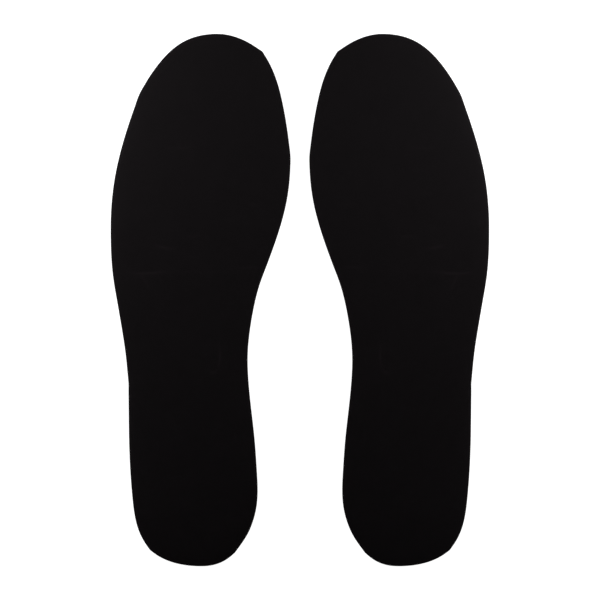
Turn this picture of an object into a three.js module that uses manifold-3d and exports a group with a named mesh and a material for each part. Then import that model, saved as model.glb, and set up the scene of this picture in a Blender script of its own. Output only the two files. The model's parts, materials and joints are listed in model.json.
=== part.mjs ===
// A pair of flat cushioned insoles, lying side by side with their toes towards +Y.
//
// Each insole is a laminate of five layers cut to one outline: a grip base, a bond film, a foam
// cushion, a second bond film and a knitted top cover. Two gel pads, one under the heel and one
// under the ball of the foot, lie in recesses in the underside of the foam. Every layer is parted
// at the flex line, so that the forefoot can bend up from the rest.
//
// Millimetres, +Z up. The origin is on the resting surface, midway between the insoles and halfway
// along them. The right insole is on the +X side, and the left one is its mirror image.

import * as THREE from 'three';
import { mergeVertices } from 'three/addons/utils/BufferGeometryUtils.js';
import Module from 'manifold-3d';

const wasm = await Module();
wasm.setup();

// ---- Driving dimensions ----

// Thickness of each layer. They add up to 4.5.
const GRIP_BASE = 0.6;
const BOND_FILM = 0.1;
const FOAM = 3;
const TOP_COVER = 0.7;

// The line across the insole where the forefoot bends, and the parting there.
const FLEX_LINE_Y = 15.5;
const FLEX_PARTING = 0.3;

// The gel pads: thickness, and the room that their recesses leave beside and above them.
const PAD_THICKNESS = 1.6;
const PAD_ROOM = 0.3;

// Each pad is an ellipse: centre, half width, half length and turn in degrees.
const HEEL_PAD = { x: 58, y: -106, halfWidth: 23, halfLength: 28, turn: 0 };
const BALL_PAD = { x: 54, y: 56, halfWidth: 36, halfLength: 22, turn: -21 };

// The outline of the right insole, 290 long. It runs anticlockwise from the inner waist, the side
// that faces the other insole, through stations of x, y and the direction of the edge there, in
// degrees anticlockwise from +X. Where the cut turns at a corner, a fourth number is the direction
// in which it leaves.
const EDGE_STATIONS = [
  [28.5, -33.5, -90.5], // inner waist
  [25, -73, -96],
  [23.3, -96, -93.5], // inner side of the heel
  [24.8, -118, -74],
  [28.5, -127.5, -61.5],
  [35.4, -137.6, -53.5, -43],
  [41.5, -142.2, -28.5],
  [53.5, -145, 0], // end of the heel
  [75.2, -140.5, 27],
  [81.4, -136.4, 38, 51],
  [88, -125, 70.5],
  [91, -110, 84],
  [93.2, -68, 89.5],
  [93.4, -45.5, 90, 85], // outer waist
  [95.4, -26, 82],
  [99, -4, 80.3],
  [102, 14.5, 83.5],
  [103.1, 39, 90], // outer side of the ball
  [99.5, 73.5, 102.5],
  [87.4, 112.3, 110.5, 118],
  [74.1, 132, 132],
  [62.3, 141.3, 153.7],
  [45, 145, 180], // end of the toes
  [28.5, 140.5, 208],
  [20.5, 135.4, 214, 236],
  [15.3, 126.3, 245.5],
  [10.6, 112.4, 256.5],
  [5.1, 78, 264.5, 270], // inner side of the ball
  [8.5, 48, 284],
  [17.8, 19.6, 290.7],
  [22.7, 6, 286],
  [26, -8.5, 280],
];

// Straight steps in each curve between two stations, and in each pad's rim.
const EDGE_STEPS = 5;
const PAD_STEPS = 32;

// ---- Materials ----

function finish(color, roughness) {
  return new THREE.MeshStandardMaterial({ color, roughness, metalness: 0 });
}

const knitFinish = finish(0x110f10, 0.92);
const foamFinish = finish(0x1d1c1d, 0.95);
const bondFinish = finish(0x2a2829, 0.45);
const gripFinish = finish(0x161516, 0.75);
const gelFinish = finish(0x3b4046, 0.35);

// The layers from the floor up.
const LAYERS = [
  { name: 'grip_base', thickness: GRIP_BASE, material: gripFinish },
  { name: 'base_bond', thickness: BOND_FILM, material: bondFinish },
  { name: 'foam', thickness: FOAM, material: foamFinish },
  { name: 'cover_bond', thickness: BOND_FILM, material: bondFinish },
  { name: 'top_cover', thickness: TOP_COVER, material: knitFinish },
];

// The underside of the foam, which the pads are level with.
const FOAM_UNDERSIDE = GRIP_BASE + BOND_FILM;

// ---- Outlines ----

// Cubic curves from station to station. Each handle is a third of the chord, lengthened for the
// turn between the two directions, so that an even turn comes out as an arc of a circle.
function insoleOutline() {
  const shape = new THREE.Shape();
  const [firstX, firstY] = EDGE_STATIONS[0];
  shape.moveTo(firstX, firstY);
  EDGE_STATIONS.forEach(([x, y, direction, directionAfter = direction], i) => {
    const [nextX, nextY, nextDirection] = EDGE_STATIONS[(i + 1) % EDGE_STATIONS.length];
    const heading = THREE.MathUtils.degToRad(directionAfter);
    const nextHeading = THREE.MathUtils.degToRad(nextDirection);
    const turn = Math.atan2(Math.sin(nextHeading - heading), Math.cos(nextHeading - heading));
    const handle = Math.hypot(nextX - x, nextY - y) / (3 * Math.cos(turn / 4) ** 2);
    shape.bezierCurveTo(
      x + handle * Math.cos(heading),
      y + handle * Math.sin(heading),
      nextX - handle * Math.cos(nextHeading),
      nextY - handle * Math.sin(nextHeading),
      nextX,
      nextY,
    );
  });
  return shape;
}

// A pad's ellipse, with the given room all round.
function padOutline(pad, room) {
  const turn = THREE.MathUtils.degToRad(pad.turn);
  const shape = new THREE.Shape();
  shape.absellipse(
    pad.x,
    pad.y,
    pad.halfWidth + room,
    pad.halfLength + room,
    0,
    2 * Math.PI,
    false,
    turn,
  );
  return shape;
}

// ---- Solids ----

// An outline raised from one height to another.
function plate(outline, bottom, top, curveSegments) {
  const geometry = new THREE.ExtrudeGeometry(outline, {
    depth: top - bottom,
    bevelEnabled: false,
    curveSegments,
  });
  return geometry.translate(0, 0, bottom);
}

// A closed geometry as a solid that can be cut.
function toSolid(geometry) {
  geometry.deleteAttribute('normal');
  geometry.deleteAttribute('uv');
  const merged = mergeVertices(geometry);
  return new wasm.Manifold(
    new wasm.Mesh({
      numProp: 3,
      vertProperties: merged.attributes.position.array,
      triVerts: new Uint32Array(merged.index.array),
    }),
  );
}

// A solid as a geometry with flat shading, since every edge here is a cut one.
function toGeometry(solid) {
  const { vertProperties, triVerts } = solid.getMesh();
  const shared = new THREE.BufferGeometry();
  shared.setAttribute('position', new THREE.BufferAttribute(vertProperties, 3));
  shared.setIndex(new THREE.BufferAttribute(triVerts, 1));
  const geometry = shared.toNonIndexed();
  geometry.computeVertexNormals();
  return geometry;
}

// A block that holds everything on one side of the flex line, clear of it by half the parting.
function sideOfFlexLine(side) {
  const reach = 400;
  const towards = side === 'front' ? 1 : -1;
  const block = new THREE.BoxGeometry(reach, reach, reach);
  return block.translate(0, FLEX_LINE_Y + (towards * (reach + FLEX_PARTING)) / 2, 0);
}

// The hole that a pad and the room round it take out of the foam.
function padRecess(pad) {
  const below = 1;
  const ceiling = FOAM_UNDERSIDE + PAD_THICKNESS + PAD_ROOM;
  return plate(padOutline(pad, PAD_ROOM), FOAM_UNDERSIDE - below, ceiling, PAD_STEPS);
}

// ---- Pieces ----

function piece(name, geometry, material) {
  const mesh = new THREE.Mesh(geometry, material);
  mesh.name = name;
  return mesh;
}

// The front and back of one layer that starts at the given height.
function layerPieces(side, layer, bottom) {
  const outline = insoleOutline();
  let whole = toSolid(plate(outline, bottom, bottom + layer.thickness, EDGE_STEPS));
  if (layer.name === 'foam') {
    whole = whole.subtract(toSolid(padRecess(HEEL_PAD)));
    whole = whole.subtract(toSolid(padRecess(BALL_PAD)));
  }
  return ['front', 'back'].map((half) => {
    const cut = whole.intersect(toSolid(sideOfFlexLine(half)));
    return piece(`${side}_${layer.name}_${half}`, toGeometry(cut), layer.material);
  });
}

function padPiece(name, pad) {
  const top = FOAM_UNDERSIDE + PAD_THICKNESS;
  return piece(name, plate(padOutline(pad, 0), FOAM_UNDERSIDE, top, PAD_STEPS), gelFinish);
}

// One insole, drawn as the right one.
function insole(side) {
  const group = new THREE.Group();
  let height = 0;
  for (const layer of LAYERS) {
    group.add(...layerPieces(side, layer, height));
    height += layer.thickness;
  }
  group.add(padPiece(`${side}_heel_pad`, HEEL_PAD));
  group.add(padPiece(`${side}_ball_pad`, BALL_PAD));
  return group;
}

const rightInsole = insole('right');
const leftInsole = insole('left');
leftInsole.scale.x = -1;

const group = new THREE.Group();
group.name = 'cushioned_insoles';
group.add(leftInsole, rightInsole);

export default group;
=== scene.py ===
import json
import math

import bpy
import numpy as np
from mathutils import Matrix, Vector


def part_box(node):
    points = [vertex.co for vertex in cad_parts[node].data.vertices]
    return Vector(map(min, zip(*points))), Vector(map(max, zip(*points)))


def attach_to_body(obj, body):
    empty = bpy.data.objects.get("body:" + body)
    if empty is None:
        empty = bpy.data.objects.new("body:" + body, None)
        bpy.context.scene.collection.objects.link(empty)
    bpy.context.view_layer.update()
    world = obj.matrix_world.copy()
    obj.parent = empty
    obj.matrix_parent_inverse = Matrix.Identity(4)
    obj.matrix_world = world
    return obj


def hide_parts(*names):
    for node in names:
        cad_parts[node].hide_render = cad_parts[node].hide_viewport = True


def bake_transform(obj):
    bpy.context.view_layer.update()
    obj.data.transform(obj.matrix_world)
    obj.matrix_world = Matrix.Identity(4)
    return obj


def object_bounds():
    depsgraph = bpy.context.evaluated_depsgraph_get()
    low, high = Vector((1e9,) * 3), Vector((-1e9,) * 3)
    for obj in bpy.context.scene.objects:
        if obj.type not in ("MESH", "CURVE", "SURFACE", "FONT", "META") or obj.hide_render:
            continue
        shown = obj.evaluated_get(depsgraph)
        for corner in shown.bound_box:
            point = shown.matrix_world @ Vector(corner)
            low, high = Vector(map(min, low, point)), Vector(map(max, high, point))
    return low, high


# A left and a right cushioned insole, laid flat side by side with the toes towards +Y.
# Every piece is worked out for the right insole, on the +X side, and the left one is its mirror
# image. Lengths are in metres.

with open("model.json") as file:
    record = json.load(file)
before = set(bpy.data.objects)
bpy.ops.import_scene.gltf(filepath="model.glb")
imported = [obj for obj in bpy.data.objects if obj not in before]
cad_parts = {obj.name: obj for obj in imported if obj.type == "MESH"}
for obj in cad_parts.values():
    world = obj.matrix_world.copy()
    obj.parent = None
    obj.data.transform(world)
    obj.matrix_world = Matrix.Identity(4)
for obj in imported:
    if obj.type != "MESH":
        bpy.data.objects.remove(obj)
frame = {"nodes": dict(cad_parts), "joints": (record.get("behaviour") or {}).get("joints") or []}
cad_low, cad_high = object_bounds()

MM = 0.001

# ---- What the frame gives ----

THICKNESS = cad_high.z
FLEX = Vector(next(j["pos_m"] for j in frame["joints"] if j["name"] == "right_forefoot_flex"))


def heights_of(layer):
    """The underside and top of a layer of the right insole."""
    low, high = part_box(f"right_{layer}_back")
    return low.z, high.z


def node_corners(node):
    """Every corner of a CAD node, one row of x, y, z each."""
    mesh = frame["nodes"][node].data
    corners = np.empty(len(mesh.vertices) * 3, np.float32)
    mesh.vertices.foreach_get("co", corners)
    return corners.reshape(-1, 3).astype(float)


# ---- Sizes of the soft detail ----

# An outline is cut into four stretches where its edge runs in these directions, in degrees. The
# first runs round the heel end, and the others follow it anticlockwise: outer side, toe end, inner
# side. The steps are for one end and one side.
STRETCH_ENDS = (-75, 75, 110, 255)
FINE_STEPS = (150, 340)
EVEN_STEPS = (110, 250)
OUTLINE_POINTS = 6000  # on the smooth outline, before it is divided into those steps
PAD_POINTS = 240

BAND = 2 * MM  # width of the rim that is carried round an outline before its inside is filled

# The top face falls away towards the die-cut edge, where the knife pinched the laminate.
CROWN_DROP = 0.5 * MM
CROWN_REACH = 6.5 * MM
PINCH_DROP = 0.16 * MM
PINCH_REACH = 1.1 * MM

# The laminate is slightly uneven, by four long sine waves that cross each other. Each has the
# lengths along X and Y in which it turns by one radian, in millimetres, then its phase and weight.
WAVE_HEIGHT = 0.035 * MM
WAVES = [
    (7.1, 11.3, 0, 1),
    (10.7, -8.3, 1.3, 1),
    (4.9, 31, 2.1, 0.7),
    (19, -5.9, 0.4, 0.7),
]

# How far in and how far down the rounding of each sheet's and each pad's edges goes.
COVER_ROUND = (0.34 * MM, 0.3 * MM)
BOND_ROUND = (0.04 * MM, 0.04 * MM)
GRIP_ROUND = (0.12 * MM, 0.12 * MM)
PAD_ROUND = (0.5 * MM, 0.5 * MM)

# How far in the foam's cut wall lies at its edges, and how much further half way up.
FOAM_INSET = 0.05 * MM
FOAM_HOLLOW = 0.26 * MM

# Faint handling creases in the top cover: the two ends and the middle of a shallow arc, in
# millimetres on the right insole, then the depth in millimetres and how much it has paled.
CREASES = [
    ((94, 15.2), (84, 14.8), (72, 16), 0.10, 1.0),
    ((87, 14.6), (84.5, 10.5), (82, 5), 0.07, 0.7),
    ((79.5, 30.5), (74, 28.8), (68, 28.6), 0.10, 1.0),
    ((44, -23), (43.6, -31), (45, -37), 0.08, 0.9),
    ((45, -37), (46.6, -39.2), (49.5, -38.6), 0.08, 0.9),
    ((29, 52.4), (26, 52), (23, 52.3), 0.05, 0.5),
    ((36, 17.7), (28, 18), (19, 17.5), 0.05, 0.5),
    ((98, 15.7), (61, 15.4), (26, 15.8), 0.03, 0.3),
    ((63, 35), (58.5, 34.6), (54, 35.1), 0.05, 0.5),
    ((74, 83.4), (67, 82.7), (59, 83.2), 0.05, 0.5),
    ((35, -70), (35.3, -74), (35, -78), 0.04, 0.4),
]
CREASE_WIDTH = 0.8 * MM
CREASE_POWER = 16  # a crease fades towards the floor with this power of the height

GRIP_DOT_PITCH = 5 * MM
GRIP_DOT_RADIUS = 1.3 * MM
GRIP_DOT_HEIGHT = 0.22 * MM
GRIP_DOT_MARGIN = 2.4 * MM

PAD_FLAT_RIM = 3 * MM
PAD_RIB_PITCH = 4 * MM
PAD_RIB_DEPTH = 0.15 * MM
PAD_ROOM = 0.3 * MM  # beside and above a pad, in its recess
PAD_PIECES = {"heel_pad": "heel_gel", "ball_pad": "ball_gel"}


# ---- Outlines ----


def smooth_loop(knots, count):
    """A closed curve through the knots: between each two a cubic, whose slope at a knot is the
    average of the slopes of the two chords there, each weighted by the length of the other. It is
    given as count points, evenly spaced along the chords."""
    chord = np.roll(knots, -1, 0) - knots
    length = np.hypot(chord[:, 0], chord[:, 1])
    slope = chord / length[:, None]
    before = np.roll(length, 1)
    tangent = (slope * before[:, None] + np.roll(slope, 1, 0) * length[:, None]) / (
        length + before
    )[:, None]
    start = np.concatenate([[0], np.cumsum(length)])
    place = np.linspace(0, start[-1], count, endpoint=False)
    at = np.searchsorted(start, place, side="right") - 1
    t = ((place - start[at]) / length[at])[:, None]
    span = length[at][:, None]
    after = (at + 1) % len(knots)
    return (
        (1 + 2 * t) * (1 - t) ** 2 * knots[at]
        + t * (1 - t) ** 2 * span * tangent[at]
        + t * t * (3 - 2 * t) * knots[after]
        - t * t * (1 - t) * span * tangent[after]
    )


def headings(loop):
    """The direction of a closed loop at each point, in degrees and unwrapped."""
    along = np.roll(loop, -1, 0) - np.roll(loop, 1, 0)
    return np.degrees(np.unwrap(np.arctan2(along[:, 1], along[:, 0])))


def in_stretches(loop, steps):
    """The same closed loop in four stretches, each divided evenly by length. It starts where it
    runs in the first of the directions at which stretches end."""
    loop = np.roll(loop, -np.argmin(loop[:, 1]), 0)
    turned = headings(loop)
    loop = np.roll(loop, np.count_nonzero(turned > turned[0] + 360 + STRETCH_ENDS[0]), 0)
    turned = headings(loop)
    turned += 360 * np.round((STRETCH_ENDS[0] - turned[0]) / 360)
    closed = np.vstack([loop, loop[:1]])
    length = np.concatenate([[0], np.cumsum(np.hypot(*np.diff(closed, axis=0).T))])
    cuts = [0] + [int(np.argmax(turned > limit)) for limit in STRETCH_ENDS[1:]] + [len(loop)]
    places = [
        np.linspace(length[a], length[b], count, endpoint=False)
        for a, b, count in zip(cuts, cuts[1:], steps * 2)
    ]
    place = np.concatenate(places)
    return np.stack([np.interp(place, length, closed[:, k]) for k in (0, 1)], 1)


def middle_of(loop, steps):
    """For each point of an outline in stretches, the point of the insole's middle line that it
    faces. The line is the average of the two sides, and a whole end faces the line's end."""
    ends, sides = steps
    closed = np.vstack([loop, loop[:1]])
    outer, inner = closed[ends : ends + sides + 1], closed[2 * ends + sides :][::-1]
    line = (outer + inner) / 2
    along = np.arange(sides)
    faced = [np.zeros(ends, int), along, np.full(ends, sides), sides - along]
    return line[np.concatenate(faced)]


def inward_of(loop):
    """The unit normal of an anticlockwise loop at each point, towards its inside."""
    turned = np.radians(headings(loop))
    return np.stack([-np.sin(turned), np.cos(turned)], 1)


def ordered_round(points, centre):
    """The points, once each, in order of their angle about the centre."""
    points = np.unique(np.round(points, 6), axis=0)
    angle = np.arctan2(points[:, 1] - centre[1], points[:, 0] - centre[0])
    return points[np.argsort(angle)]


def insole_outline():
    """The outline of the right insole. The corners of the two halves of the grip base lie on it,
    apart from those at the parting between the halves."""
    back, front = node_corners("right_grip_base_back"), node_corners("right_grip_base_front")
    both = np.vstack([back, front])
    parting = (both[:, 1] > back[:, 1].max() - 1e-6) & (both[:, 1] < front[:, 1].min() + 1e-6)
    corners = both[~parting]
    centre = ((back[:, 0].min() + back[:, 0].max()) / 2, FLEX.y)
    return smooth_loop(ordered_round(corners[:, :2], centre), OUTLINE_POINTS)


def pad_outline(node):
    low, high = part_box(node)
    centre = (low + high) / 2
    return smooth_loop(ordered_round(node_corners(node)[:, :2], centre), PAD_POINTS)


def centre_of(loop):
    """The middle of a pad, once for each point of its outline."""
    return np.broadcast_to((loop.min(0) + loop.max(0)) / 2, loop.shape)


OUTLINE = insole_outline()
EVEN_OUTLINE = in_stretches(OUTLINE, EVEN_STEPS)


BATCH = 4000  # points that are compared with a line at a time, to save memory


def distance_to(points, line):
    """How far each point is from a closed line. The nearest corner of the line is the one with the
    smallest square distance, and the nearest point is on one of the two segments that meet there."""
    squares = (line**2).sum(1)
    batches = np.array_split(points, len(points) // BATCH + 1)
    nearest = np.concatenate([(squares - 2 * batch @ line.T).argmin(1) for batch in batches])
    gaps = []
    for first in (nearest - 1, nearest):
        start = line[first]
        along = line[(first + 1) % len(line)] - start
        share = ((points - start) * along).sum(1) / (along**2).sum(1)
        foot = start + np.clip(share, 0, 1)[:, None] * along
        gaps.append(np.hypot(*(points - foot).T))
    return np.minimum(*gaps)


# ---- The relief that all layers share ----


def crease_at(points):
    """How deep the creases are at each point, and how much they have paled the cover there. A
    crease follows a quadratic curve, its section is a bell curve, and it fades out at both ends."""
    depth, paled = np.zeros(len(points)), np.zeros(len(points))
    t = np.linspace(0, 1, 41)[:, None]
    for first, middle, last, deep, pale in CREASES:
        first, middle, last = (np.array(p) * MM for p in (first, middle, last))
        bend = 2 * middle - (first + last) / 2
        line = (1 - t) ** 2 * first + 2 * t * (1 - t) * bend + t * t * last
        reach = np.abs(line - line.mean(0)).max() + 4 * CREASE_WIDTH
        near = np.flatnonzero(np.abs(points - line.mean(0)).max(1) < reach)
        away = points[near][:, None] - line
        gap = np.hypot(away[..., 0], away[..., 1])
        share = t[gap.argmin(1), 0]
        mask = np.exp(-((gap.min(1) / CREASE_WIDTH) ** 2)) * np.sin(np.pi * (0.06 + 0.88 * share))
        depth[near] = np.maximum(depth[near], mask * deep * MM)
        paled[near] = np.maximum(paled[near], mask * pale)
    return depth, paled


def wave_at(points):
    """The slow unevenness at each point."""
    x, y = points[:, 0] / MM, points[:, 1] / MM
    waves = (
        weight * np.sin(x / along_x + y / along_y + phase)
        for along_x, along_y, phase, weight in WAVES
    )
    return (WAVE_HEIGHT / 2) * sum(waves)


def settled(points, from_edge):
    """Points of the flat laminate, moved to where they lie in the finished one. Each goes down by
    the crown, which falls off with the distance from the edge, by the pinch of the knife, by the
    unevenness and by the creases. The move grows with the square of the height, so that no layer
    passes another, and the creases' part of it with a high power, so that they stay near the top."""
    share = points[:, 2] / THICKNESS
    crown = CROWN_DROP * np.exp(-from_edge / CROWN_REACH)
    pinch = PINCH_DROP * np.exp(-from_edge / PINCH_REACH)
    down = crown + pinch + WAVE_HEIGHT + wave_at(points[:, :2])
    depth, paled = crease_at(points[:, :2])
    moved = points.copy()
    on_top = share**CREASE_POWER
    moved[:, 2] -= down * share**2 + depth * on_top
    return moved, paled * on_top


# ---- Meshes ----


def quads_between(grid):
    """The faces of a grid of point numbers, in the order row, next along, next up, back."""
    return np.stack([grid[:-1, :-1], grid[:-1, 1:], grid[1:, 1:], grid[1:, :-1]], -1).reshape(-1, 4)


def slab(loop, middle, rim, rows_below, rows_above):
    """A closed solid with the outline given. Its rim is a profile of inset and height, from inside
    the underside, out and up round the edge, to inside the top; row k of the rim is the loop moved
    inwards by inset k and set at height k. From there the underside and the top run in straight
    lines to the middle: a point is the rim's end times 1 - w plus the middle times w, and w is the
    row's share of the way to the power 1.15, so that the rows are closest near the rim."""
    count = len(loop)
    insets = loop[None] + rim[:, 0, None, None] * inward_of(loop)[None]
    heights = np.broadcast_to(rim[:, 1, None, None], (len(rim), count, 1))
    rim_rows = np.concatenate([insets, heights], 2)
    rows = [rim_rows]
    for end, filled in ((0, rows_below), (-1, rows_above)):
        w = ((np.arange(1, filled) / filled) ** 1.15)[:, None, None]
        goal = np.column_stack([middle, np.full(count, rim[end, 1])])
        fill = (1 - w) * rim_rows[end] + w * goal
        rows = [fill[::-1]] + rows if end == 0 else rows + [fill]
    rows = np.concatenate(rows)
    ring = np.arange(len(rows) * count).reshape(len(rows), count)
    points, faces = [rows.reshape(-1, 3)], [quads_between(np.hstack([ring, ring[:, :1]]))]
    centre, which = np.unique(np.round(middle, 7), axis=0, return_inverse=True)
    which = which.reshape(-1)
    triangles = []
    for end in (0, -1):
        here = sum(map(len, points)) + which
        points.append(np.column_stack([centre, np.full(len(centre), rim[end, 1])]))
        edge, after = ring[end], np.roll(ring[end], -1)
        fan = np.stack([edge, after, np.roll(here, -1), here], -1)
        fan = fan[:, ::-1] if end == 0 else fan
        pointed = which == np.roll(which, -1)
        faces.append(fan[~pointed])
        triangles.append(fan[pointed][:, 1:] if end == 0 else fan[pointed][:, :3])
    return np.vstack(points), [*np.vstack(faces).tolist(), *np.vstack(triangles).tolist()]


def layer(rim, steps, rows_below, rows_above):
    """A slab with the insole's outline."""
    loop = in_stretches(OUTLINE, steps)
    return slab(loop, middle_of(loop, steps), rim, rows_below, rows_above)


def new_piece(name, points, faces):
    """A mesh object at the origin, shaded smooth."""
    mesh = bpy.data.meshes.new(name)
    mesh.from_pydata(points.tolist(), [], faces)
    mesh.polygons.foreach_set("use_smooth", np.ones(len(mesh.polygons), bool))
    mesh.update()
    piece = bpy.data.objects.new(name, mesh)
    bpy.context.scene.collection.objects.link(piece)
    return piece


def corners_of(piece):
    corners = np.empty(len(piece.data.vertices) * 3, np.float32)
    piece.data.vertices.foreach_get("co", corners)
    return corners.reshape(-1, 3).astype(float)


def put_attribute(piece, name, kind, values):
    attribute = piece.data.attributes.new(name, kind, "POINT")
    slot_name = "vector" if kind == "FLOAT_VECTOR" else "value"
    attribute.data.foreach_set(slot_name, np.ascontiguousarray(values, np.float32).ravel())


def settle(piece):
    """Gives a flat piece the relief that all layers share, and stores on each corner what the
    finishes read: its place in the flat laminate, its distance from the edge in millimetres, and
    how much the creases have paled it."""
    flat = corners_of(piece)
    from_edge = distance_to(flat[:, :2], EVEN_OUTLINE)
    moved, paled = settled(flat, from_edge)
    piece.data.vertices.foreach_set("co", moved.astype(np.float32).ravel())
    put_attribute(piece, "flat_place", "FLOAT_VECTOR", flat)
    put_attribute(piece, "from_edge_mm", "FLOAT", from_edge / MM)
    put_attribute(piece, "paled", "FLOAT", paled)
    piece.data.update()
    return piece


# ---- The layers of the right insole ----


def quarter_round(wide, high, steps):
    """Inset and rise along a quarter of an ellipse, from the wall up to the flat: inset is
    wide times 1 - cos, rise is high times sin."""
    angle = np.linspace(0, math.pi / 2, steps)
    return wide * (1 - np.cos(angle)), high * np.sin(angle)


def rim_of_sheet(low, high, wide, tall, steps):
    """The rim of a sheet whose two edges are rounded: an inner row, a quarter ellipse turned down,
    a quarter ellipse turned up, then rows that lead in across the top. The wall joins the two."""
    inset, rise = quarter_round(wide, tall, steps)
    under = np.column_stack([inset[::-1], low + tall - rise[::-1]])
    over = np.column_stack([inset, high - tall + rise])
    lead = np.array([0.25, 0.6, 1.1]) * MM + wide
    into = np.column_stack([lead, np.full(len(lead), high)])
    return np.vstack([[[BAND, low]], under, over, into, [[BAND, high]]])


def top_cover():
    """Smooth knitted cloth, whose cut edge is soft above and below."""
    low, high = heights_of("top_cover")
    rim = rim_of_sheet(low, high, *COVER_ROUND, steps=7)
    points, faces = layer(rim, FINE_STEPS, rows_below=12, rows_above=56)
    return settle(new_piece("right_top_cover", points, faces))


def bond_film(name):
    """A film that shows as a hairline at the cut edge, standing a little proud of the foam."""
    low, high = heights_of(name)
    rim = rim_of_sheet(low, high, *BOND_ROUND, steps=3)
    points, faces = layer(rim, EVEN_STEPS, rows_below=12, rows_above=12)
    return settle(new_piece(f"right_{name}", points, faces))


def foam_core():
    """The foam, as high as its layer. Its cut wall is hollow, because foam is squeezed under the
    knife and springs back: the inset grows with a half sine of the height to the power 0.8. The
    pads' recesses are cut out of its underside."""
    low, high = heights_of("foam")
    share = np.linspace(0, 1, 15)
    hollow = FOAM_INSET + FOAM_HOLLOW * np.sin(np.pi * share) ** 0.8
    wall = np.column_stack([hollow, low + share * (high - low)])
    below = np.array([[BAND, low], [0.8 * MM, low]])
    above = below[::-1] + [0, high - low]
    rim = np.vstack([below, wall, above])
    points, faces = layer(rim, EVEN_STEPS, rows_below=24, rows_above=24)
    foam = new_piece("right_foam", points, faces)
    for pad in ("heel_pad", "ball_pad"):
        cut_recess(foam, f"right_{pad}")
    return settle(foam)


def cut_recess(foam, pad):
    """Takes a pad's recess out of the foam: the pad's outline with room all round, from below the
    foam to just above the pad."""
    low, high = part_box(pad)
    bottom, top = low.z - MM, high.z + PAD_ROOM
    rim = np.array([[4 * MM, bottom], [-PAD_ROOM, bottom], [-PAD_ROOM, top], [4 * MM, top]])
    loop = pad_outline(pad)
    points, faces = slab(loop, centre_of(loop), rim, rows_below=4, rows_above=4)
    tool = new_piece("recess_tool", points, faces)
    cut = foam.modifiers.new("recess", "BOOLEAN")
    cut.operation = "DIFFERENCE"
    cut.solver = "EXACT"
    cut.object = tool
    graph = bpy.context.evaluated_depsgraph_get()
    mesh = bpy.data.meshes.new_from_object(foam.evaluated_get(graph))
    foam.modifiers.clear()
    old, foam.data = foam.data, mesh
    bpy.data.meshes.remove(old)
    bpy.data.objects.remove(tool)


def gel_pad(pad):
    """A pad with round edges. Inside a flat rim, its top has low ribs that follow its outline: the
    height falls by a raised cosine of the distance from the rim."""
    low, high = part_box(f"right_{pad}")
    rim = rim_of_sheet(low.z, high.z, *PAD_ROUND, steps=6)
    loop = pad_outline(f"right_{pad}")
    points, faces = slab(loop, centre_of(loop), rim, rows_below=12, rows_above=60)
    past_rim = distance_to(points[:, :2], loop) - PAD_FLAT_RIM
    ribs = 0.5 - 0.5 * np.cos(2 * np.pi * past_rim / PAD_RIB_PITCH)
    on_top = (points[:, 2] > high.z - 0.01 * MM) & (past_rim > 0)
    points[:, 2] -= np.where(on_top, PAD_RIB_DEPTH * ribs, 0)
    return settle(new_piece(f"right_{PAD_PIECES[pad]}", points, faces))


def inside_of(points, loop):
    """Which points are inside a closed loop: those from which a ray along +X crosses it an odd
    number of times."""
    x, y = points[:, 0, None], points[:, 1, None]
    x0, y0 = loop.T
    x1, y1 = np.roll(loop, -1, 0).T
    spans = (y0 > y) != (y1 > y)
    with np.errstate(divide="ignore", invalid="ignore"):
        crossing = x0 + (y - y0) * (x1 - x0) / (y1 - y0)
    return (spans & (crossing > x)).sum(1) % 2 == 1


def grip_dots(low, high):
    """Low round dots under the grip base, in rows a pitch apart and staggered by half a pitch. A
    dot is a dome whose height is the square root of 1 - r squared, sunk a little into the sheet."""
    (left, back), (right, front) = OUTLINE.min(0), OUTLINE.max(0)
    rows = np.arange(back, front, GRIP_DOT_PITCH * math.sqrt(0.75))
    columns = np.arange(left, right, GRIP_DOT_PITCH)
    x, y = np.meshgrid(columns, rows)
    x[1::2] += GRIP_DOT_PITCH / 2
    centres = np.column_stack([x.ravel(), y.ravel()])
    clear = distance_to(centres, EVEN_OUTLINE) > GRIP_DOT_MARGIN
    centres = centres[clear & inside_of(centres, EVEN_OUTLINE)]
    sides = 12
    radius = np.array([1, 0.96, 0.8, 0.5])
    drop = np.array([-0.3, 0.28, 0.6, 0.866])
    angle = 2 * np.pi * np.arange(sides) / sides
    ring = np.stack([np.cos(angle), -np.sin(angle)], 1) * GRIP_DOT_RADIUS
    shape = np.concatenate(
        [np.column_stack([ring * r, np.full(sides, high - GRIP_DOT_HEIGHT * d)])
         for r, d in zip(radius, drop)] + [[[0, 0, low]]]
    )
    lift = np.pad(centres, ((0, 0), (0, 1)))
    points = (shape[None] + lift[:, None]).reshape(-1, 3)
    turn = np.arange(sides)
    following = np.roll(turn, -1)
    walls = [
        np.column_stack([turn, following, following + sides, turn + sides]) + sides * k
        for k in range(len(radius) - 1)
    ]
    last = sides * (len(radius) - 1)
    tip = len(shape) - 1
    cone = np.column_stack([last + turn, last + following, np.full(sides, tip)])
    starts = np.arange(len(centres)) * len(shape)
    quads = (np.vstack(walls)[None] + starts[:, None, None]).reshape(-1, 4)
    triangles = (cone[None] + starts[:, None, None]).reshape(-1, 3)
    caps = turn[::-1][None] + starts[:, None]
    return points, [*quads.tolist(), *triangles.tolist(), *caps.tolist()]


def grip_base():
    """The sheet that lies on the shoe's footbed, on dots that bring it down to the surface."""
    low, high = heights_of("grip_base")
    underside = low + GRIP_DOT_HEIGHT
    rim = rim_of_sheet(underside, high, *GRIP_ROUND, steps=5)
    points, faces = layer(rim, EVEN_STEPS, rows_below=12, rows_above=12)
    dots, dot_faces = grip_dots(low, underside)
    joined = faces + [[n + len(points) for n in face] for face in dot_faces]
    return settle(new_piece("right_grip_base", np.vstack([points, dots]), joined))


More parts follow.
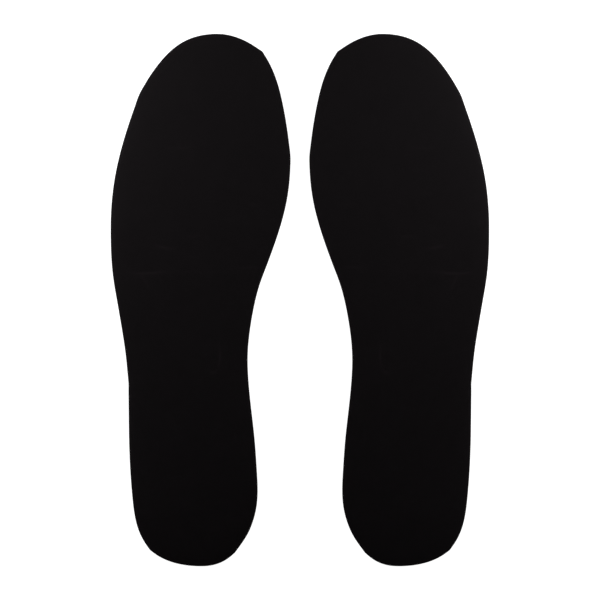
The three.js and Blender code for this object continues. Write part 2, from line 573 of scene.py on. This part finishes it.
right_pieces = {
    "top_cover": top_cover(),
    "cover_bond": bond_film("cover_bond"),
    "foam": foam_core(),
    "base_bond": bond_film("base_bond"),
    "grip_base": grip_base(),
    "heel_gel": gel_pad("heel_pad"),
    "ball_gel": gel_pad("ball_pad"),
}


def mirrored(piece, name):
    """The same piece on the other side of the plane midway between the insoles."""
    mesh = piece.data.copy()
    mesh.name = name
    mesh.transform(Matrix.Scale(-1, 4, (1, 0, 0)))
    mesh.flip_normals()
    twin = bpy.data.objects.new(name, mesh)
    bpy.context.scene.collection.objects.link(twin)
    return twin


# ---- Finishes ----


class Tree:
    """A node tree that is filled by short calls."""

    def __init__(self, tree):
        self.tree = tree

    def node(self, kind, values=None, **settings):
        node = self.tree.nodes.new(kind)
        for key, value in settings.items():
            setattr(node, key, value)
        for key, value in (values or {}).items():
            self.feed(node.inputs[key], value)
        return node

    def feed(self, socket, value):
        if isinstance(value, bpy.types.NodeSocket):
            self.tree.links.new(value, socket)
        else:
            socket.default_value = value

    def math(self, operation, *values, clamp=False):
        node = self.node("ShaderNodeMath", operation=operation, use_clamp=clamp)
        for socket, value in zip(node.inputs, values):
            self.feed(socket, value)
        return node.outputs[0]

    def mix(self, factor, first, second):
        node = self.node("ShaderNodeMix", data_type="RGBA")
        self.feed(node.inputs["Factor"], factor)
        self.feed(node.inputs["A"], first)
        self.feed(node.inputs["B"], second)
        return node.outputs["Result"]

    def placed(self, group, **values):
        node = self.node("ShaderNodeGroup", node_tree=group)
        for key, value in values.items():
            self.feed(node.inputs[key.replace("_", " ")], value)
        return node.outputs


def new_group(name, inputs, outputs):
    """A shader node group with named sockets: its tree, the short calls that fill it, what the
    group is given, and the sockets for its results."""
    tree = bpy.data.node_groups.new(name, "ShaderNodeTree")
    for label, kind in inputs.items():
        tree.interface.new_socket(label, in_out="INPUT", socket_type=kind)
    for label in outputs:
        tree.interface.new_socket(label, in_out="OUTPUT", socket_type="NodeSocketFloat")
    made = Tree(tree)
    given = made.node("NodeGroupInput").outputs
    result = made.node("NodeGroupOutput").inputs
    return tree, made, given, result


def knit_stitches_group():
    """Fine knit: each wale is a column of V shapes. The phase of a stitch is y over the course
    height plus a triangle wave of x over the wale width, so that its two legs slant to the middle.
    Height is a rounded leg, and Gap is the furrow between wales."""
    tree, t, given, result = new_group(
        "knit_stitches",
        {"Place": "NodeSocketVector", "Wale": "NodeSocketFloat", "Course": "NodeSocketFloat"},
        ("Height", "Gap"),
    )
    place = t.node("ShaderNodeSeparateXYZ", {"Vector": given["Place"]}).outputs
    wale = t.math("DIVIDE", place["X"], given["Wale"])
    course = t.math("DIVIDE", place["Y"], given["Course"])
    across = t.math("PINGPONG", wale, 0.5)
    phase = t.math("ADD", course, t.math("MULTIPLY", across, 1.6))
    leg = t.math("PINGPONG", phase, 0.5)
    middle = t.math("SINE", t.math("MULTIPLY", across, 2 * math.pi))
    t.feed(result["Height"], t.math("MULTIPLY", t.math("MULTIPLY", leg, 2), middle))
    t.feed(result["Gap"], t.math("SUBTRACT", 1, middle))
    return tree


def mottle_group():
    """Slow and fine unevenness of a surface, centred on zero: two noises of different size."""
    tree, t, given, result = new_group(
        "mottle",
        {"Place": "NodeSocketVector", "Size": "NodeSocketFloat"},
        ("Slow", "Fine"),
    )
    for label, share, detail in (("Slow", 1, 2), ("Fine", 9, 3)):
        scale = t.math("DIVIDE", share, given["Size"])
        noise = t.node(
            "ShaderNodeTexNoise", {"Vector": given["Place"], "Scale": scale, "Detail": detail}
        )
        t.feed(result[label], t.math("SUBTRACT", noise.outputs["Fac"], 0.5))
    return tree


def edge_wear_and_light_group():
    """How strongly a surface is marked towards its cut edge, used both for wear and for painted edge
    light: it falls off with the distance, and is broken up by noise."""
    tree, t, given, result = new_group(
        "edge_wear_and_light",
        {"Place": "NodeSocketVector", "From edge": "NodeSocketFloat", "Reach": "NodeSocketFloat"},
        ("Near edge",),
    )
    reaches = t.math("DIVIDE", given["From edge"], given["Reach"])
    near = t.math("EXPONENT", t.math("MULTIPLY", reaches, -1))
    noise = t.node("ShaderNodeTexNoise", {"Vector": given["Place"], "Scale": 900, "Detail": 3})
    t.feed(result["Near edge"], t.math("MULTIPLY", near, noise.outputs["Fac"], clamp=True))
    return tree


def foam_cells_group():
    """Open cells of a cut foam: Height rises from the middle of each cell to its walls, and Pore
    marks the middle, which the foam's finish darkens as painted shade."""
    tree, t, given, result = new_group(
        "foam_cells",
        {"Place": "NodeSocketVector", "Size": "NodeSocketFloat"},
        ("Height", "Pore"),
    )
    scale = t.math("DIVIDE", 1, given["Size"])
    coarse = t.node("ShaderNodeTexVoronoi", {"Vector": given["Place"], "Scale": scale})
    fine = t.node(
        "ShaderNodeTexVoronoi",
        {"Vector": given["Place"], "Scale": t.math("MULTIPLY", scale, 2.3)},
    )
    half_fine = t.math("MULTIPLY", fine.outputs["Distance"], 0.5)
    far = t.math("ADD", coarse.outputs["Distance"], half_fine)
    t.feed(result["Height"], far)
    t.feed(result["Pore"], t.math("SUBTRACT", 1, t.math("MULTIPLY", far, 1.4), clamp=True))
    return tree


KNIT = knit_stitches_group()
MOTTLE = mottle_group()
EDGE_WEAR_AND_LIGHT = edge_wear_and_light_group()
FOAM_CELLS = foam_cells_group()


def stored(t, name, output):
    """What a piece stores on its corners under that name."""
    return t.node("ShaderNodeAttribute", attribute_name=name).outputs[output]


def new_finish(name, **settings):
    """A material with one Principled shader, whose plain settings go on its own sockets."""
    material = bpy.data.materials.new(name)
    material.use_nodes = True
    t = Tree(material.node_tree)
    shader = material.node_tree.nodes["Principled BSDF"]
    for key, value in settings.items():
        shader.inputs[key.replace("_", " ")].default_value = value
    return material, t, shader.inputs


def grey(level, warmth=0.08):
    """A near-black grey, very slightly warm."""
    return (level * (1 + warmth), level * (1 - warmth), level, 1)


def knit_black(level):
    """The black of the cover, a little warmer than the other layers."""
    return grey(level, warmth=0.17)


def bump(t, shader, height, depth):
    node = t.node("ShaderNodeBump", {"Height": height, "Distance": depth, "Strength": 1.0})
    t.feed(shader["Normal"], node.outputs["Normal"])


def knit_finish():
    """Matt black fine knit, paler where it has been creased and where the knife cut it. The furrows
    between its wales are darkened as painted shade, and a band a few millimetres wide along the edge
    is lightened as painted edge light.
    """
    material, t, shader = new_finish(
        "black_knit",
        Specular_IOR_Level=0.06,
        Sheen_Weight=0.04,
        Sheen_Roughness=0.5,
    )
    place = stored(t, "flat_place", "Vector")
    knit = t.placed(KNIT, Place=place, Wale=0.62 * MM, Course=0.48 * MM)
    mottle = t.placed(MOTTLE, Place=place, Size=9 * MM)
    from_edge = stored(t, "from_edge_mm", "Fac")
    worn = t.placed(EDGE_WEAR_AND_LIGHT, Place=place, From_edge=from_edge, Reach=0.35)["Near edge"]
    # The mask of a band some 2.6 mm wide along the cut edge, where the cloth is painted lighter
    # below: painted light that the edge, falling away, would catch.
    painted_edge_light = t.placed(EDGE_WEAR_AND_LIGHT, Place=place, From_edge=from_edge, Reach=2.6)["Near edge"]
    # The furrows between wales are painted darker: painted shade in the recesses of the knit.
    furrow = t.math("MULTIPLY", knit["Gap"], 0.35, clamp=True)
    dark = t.mix(furrow, knit_black(0.0036), knit_black(0.0018))
    uneven = t.math("ADD", t.math("MULTIPLY", mottle["Slow"], 0.7), mottle["Fine"])
    cloth = t.mix(t.math("ADD", uneven, 0.35, clamp=True), dark, knit_black(0.0052))
    # Painted edge light: the cloth is lightened in the band along the edge.
    cloth = t.mix(t.math("MULTIPLY", painted_edge_light, 0.4), cloth, knit_black(0.009))
    creased = t.mix(t.math("MULTIPLY", stored(t, "paled", "Fac"), 0.45), cloth, knit_black(0.011))
    t.feed(shader["Base Color"], t.mix(t.math("MULTIPLY", worn, 0.5), creased, knit_black(0.012)))
    t.feed(shader["Roughness"], t.math("ADD", 0.56, t.math("MULTIPLY", mottle["Fine"], 0.2)))
    bump(t, shader, knit["Height"], 0.05 * MM)
    return material


def foam_finish():
    """Charcoal foam with open cells at the cut, their middles darkened as painted shade."""
    material, t, shader = new_finish("charcoal_foam", Specular_IOR_Level=0.2)
    place = stored(t, "flat_place", "Vector")
    cells = t.placed(FOAM_CELLS, Place=place, Size=0.42 * MM)
    mottle = t.placed(MOTTLE, Place=place, Size=6 * MM)
    base = t.mix(t.math("ADD", mottle["Slow"], 0.5), grey(0.016), grey(0.026))
    # The middles of the cells are painted dark: painted shade inside the open pores.
    t.feed(shader["Base Color"], t.mix(cells["Pore"], base, grey(0.006)))
    t.feed(shader["Roughness"], t.math("ADD", 0.9, t.math("MULTIPLY", mottle["Fine"], 0.15)))
    bump(t, shader, cells["Height"], 0.12 * MM)
    return material


def bond_finish():
    """Hot-melt film: a hairline that catches the light."""
    material, t, shader = new_finish("bond_film", Specular_IOR_Level=0.4)
    place = stored(t, "flat_place", "Vector")
    mottle = t.placed(MOTTLE, Place=place, Size=3 * MM)
    t.feed(shader["Base Color"], t.mix(t.math("ADD", mottle["Fine"], 0.5), grey(0.014), grey(0.03)))
    t.feed(shader["Roughness"], t.math("ADD", 0.38, t.math("MULTIPLY", mottle["Slow"], 0.3)))
    bump(t, shader, mottle["Fine"], 0.02 * MM)
    return material


def grip_finish():
    """Black rubbery sheet with a fine grain, dulled towards its cut edge."""
    material, t, shader = new_finish("black_grip_rubber", Specular_IOR_Level=0.3)
    place = stored(t, "flat_place", "Vector")
    mottle = t.placed(MOTTLE, Place=place, Size=2.2 * MM)
    worn = t.placed(
        EDGE_WEAR_AND_LIGHT, Place=place, From_edge=stored(t, "from_edge_mm", "Fac"), Reach=0.8
    )["Near edge"]
    base = t.mix(t.math("ADD", mottle["Slow"], 0.5), grey(0.008), grey(0.015))
    t.feed(shader["Base Color"], t.mix(t.math("MULTIPLY", worn, 0.6), base, grey(0.03)))
    t.feed(shader["Roughness"], t.math("ADD", 0.66, t.math("MULTIPLY", mottle["Slow"], 0.25)))
    bump(t, shader, mottle["Fine"], 0.04 * MM)
    return material


def gel_finish():
    """Soft dark gel with a few fine bubbles."""
    material, t, shader = new_finish("dark_gel", Specular_IOR_Level=0.5, Coat_Weight=0.2)
    place = stored(t, "flat_place", "Vector")
    mottle = t.placed(MOTTLE, Place=place, Size=5 * MM)
    bubbles = t.placed(FOAM_CELLS, Place=place, Size=3.1 * MM)
    uneven = t.math("ADD", mottle["Slow"], 0.5)
    base = t.mix(uneven, (0.03, 0.036, 0.044, 1), (0.05, 0.058, 0.07, 1))
    speck = t.math("GREATER_THAN", bubbles["Pore"], 0.86)
    t.feed(shader["Base Color"], t.mix(speck, base, (0.09, 0.1, 0.115, 1)))
    t.feed(shader["Roughness"], t.math("ADD", 0.3, t.math("MULTIPLY", mottle["Fine"], 0.2)))
    bump(t, shader, mottle["Slow"], 0.05 * MM)
    return material


# For each piece: its finish, the record's slot, and the CAD nodes that it stands for.
bonded = bond_finish()
gel = gel_finish()
FITTINGS = {
    "top_cover": (knit_finish(), "top_cover", ("top_cover_front", "top_cover_back")),
    "cover_bond": (bonded, "bond_film", ("cover_bond_front", "cover_bond_back")),
    "foam": (foam_finish(), "foam", ("foam_front", "foam_back")),
    "base_bond": (bonded, "bond_film", ("base_bond_front", "base_bond_back")),
    "grip_base": (grip_finish(), "grip_base", ("grip_base_front", "grip_base_back")),
    "heel_gel": (gel, "gel_pad", ("heel_pad",)),
    "ball_gel": (gel, "gel_pad", ("ball_pad",)),
}


# ---- How the pieces hang together ----


def attach(piece, side, part):
    """Gives a piece its finish and its place in the frame, and hides the CAD nodes that it stands
    for. The heel pad is clear of the bend and rides on the back; the layers and the ball pad, which
    reaches into the bend, stay where they lie."""
    finish, slot, nodes = FITTINGS[part]
    piece.data.materials.clear()
    piece.data.materials.append(finish)
    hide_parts(*(f"{side}_{node}" for node in nodes))
    if part == "heel_gel":
        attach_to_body(piece, f"{side}_back")
    else:
        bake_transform(piece)


for part, right_piece in right_pieces.items():
    left_piece = mirrored(right_piece, f"left_{part}")
    attach(right_piece, "right", part)
    attach(left_piece, "left", part)


# ---- Floor, light and camera ----

FLOOR_REACH = 6.0
FLOOR_GLOW = 1.04

# Soft square lamps, low on the outer side of the right insole, and mirrored for the left one:
# place, aim, side length and watts.
LAMPS = {
    "toe_light": ((0.28, 0.17, 0.11), (0.08, 0.03, 0), 0.2, 0.86),
    "heel_light": ((0.24, -0.13, 0.08), (0.09, -0.1, 0), 0.12, 0.06),
}

FRAME_WIDTH = 326.6 * MM  # what the picture spans at the height of the top faces
PICTURE_CENTRE = (0.04 * MM, 0.01 * MM)
LENS, SENSOR = 200.0, 36.0


def floor():
    """A wide pale floor, lit from within like a light table, very slightly mottled."""
    points = np.array([[-1, -1, 0], [1, -1, 0], [1, 1, 0], [-1, 1, 0]]) * FLOOR_REACH
    made = new_piece("floor", points, [(0, 1, 2, 3)])
    material, t, shader = new_finish(
        "pale_floor", Roughness=0.9, Specular_IOR_Level=0.1, Emission_Strength=FLOOR_GLOW
    )
    place = t.node("ShaderNodeTexCoord").outputs["Object"]
    mottle = t.placed(MOTTLE, Place=place, Size=0.4)
    uneven = t.math("ADD", mottle["Slow"], 0.5)
    t.feed(shader["Base Color"], t.mix(uneven, (0.45, 0.45, 0.45, 1), (0.5, 0.5, 0.5, 1)))
    t.feed(shader["Emission Color"], t.mix(uneven, (0.96, 0.96, 0.96, 1), (1, 1, 1, 1)))
    made.data.materials.append(material)
    return made


def soft_light(name, place, aim, size, power):
    """A square lamp at a place, facing a point."""
    lamp = bpy.data.lights.new(name, "AREA")
    lamp.shape = "SQUARE"
    lamp.size = size
    lamp.energy = power
    made = bpy.data.objects.new(name, lamp)
    made.location = place
    made.rotation_mode = "QUATERNION"
    made.rotation_quaternion = (aim - place).to_track_quat("-Z", "Y")
    made.visible_camera = False
    bpy.context.scene.collection.objects.link(made)
    return made


def white_surroundings(seen, lighting):
    """A plain world: white to the eye, and dimmer as a light."""
    world = bpy.data.worlds.new("surroundings")
    world.use_nodes = True
    t = Tree(world.node_tree)
    background = world.node_tree.nodes["Background"]
    direct = t.node("ShaderNodeLightPath").outputs["Is Camera Ray"]
    strength = t.math("ADD", lighting, t.math("MULTIPLY", direct, seen - lighting))
    t.feed(background.inputs["Strength"], strength)
    background.inputs["Color"].default_value = (1, 1, 1, 1)
    bpy.context.scene.world = world


def overhead_camera():
    """A long lens straight above the pair, with the toes at the top of the picture."""
    data = bpy.data.cameras.new("camera")
    data.lens, data.sensor_width = LENS, SENSOR
    data.clip_start, data.clip_end = 0.05, 50
    made = bpy.data.objects.new("camera", data)
    distance = FRAME_WIDTH * LENS / SENSOR
    made.location = (*PICTURE_CENTRE, THICKNESS + distance)
    bpy.context.scene.collection.objects.link(made)
    bpy.context.scene.camera = made


floor()
white_surroundings(seen=1.0, lighting=0.03)
for lamp_name, (lamp_place, lamp_aim, lamp_size, watts) in LAMPS.items():
    for side, across in (("left", -1), ("right", 1)):
        mirror = Vector((across, 1, 1))
        place, aim = mirror * Vector(lamp_place), mirror * Vector(lamp_aim)
        soft_light(f"{side}_{lamp_name}", place, aim, lamp_size, watts)
overhead_camera()
bpy.context.scene.view_settings.view_transform = "Standard"
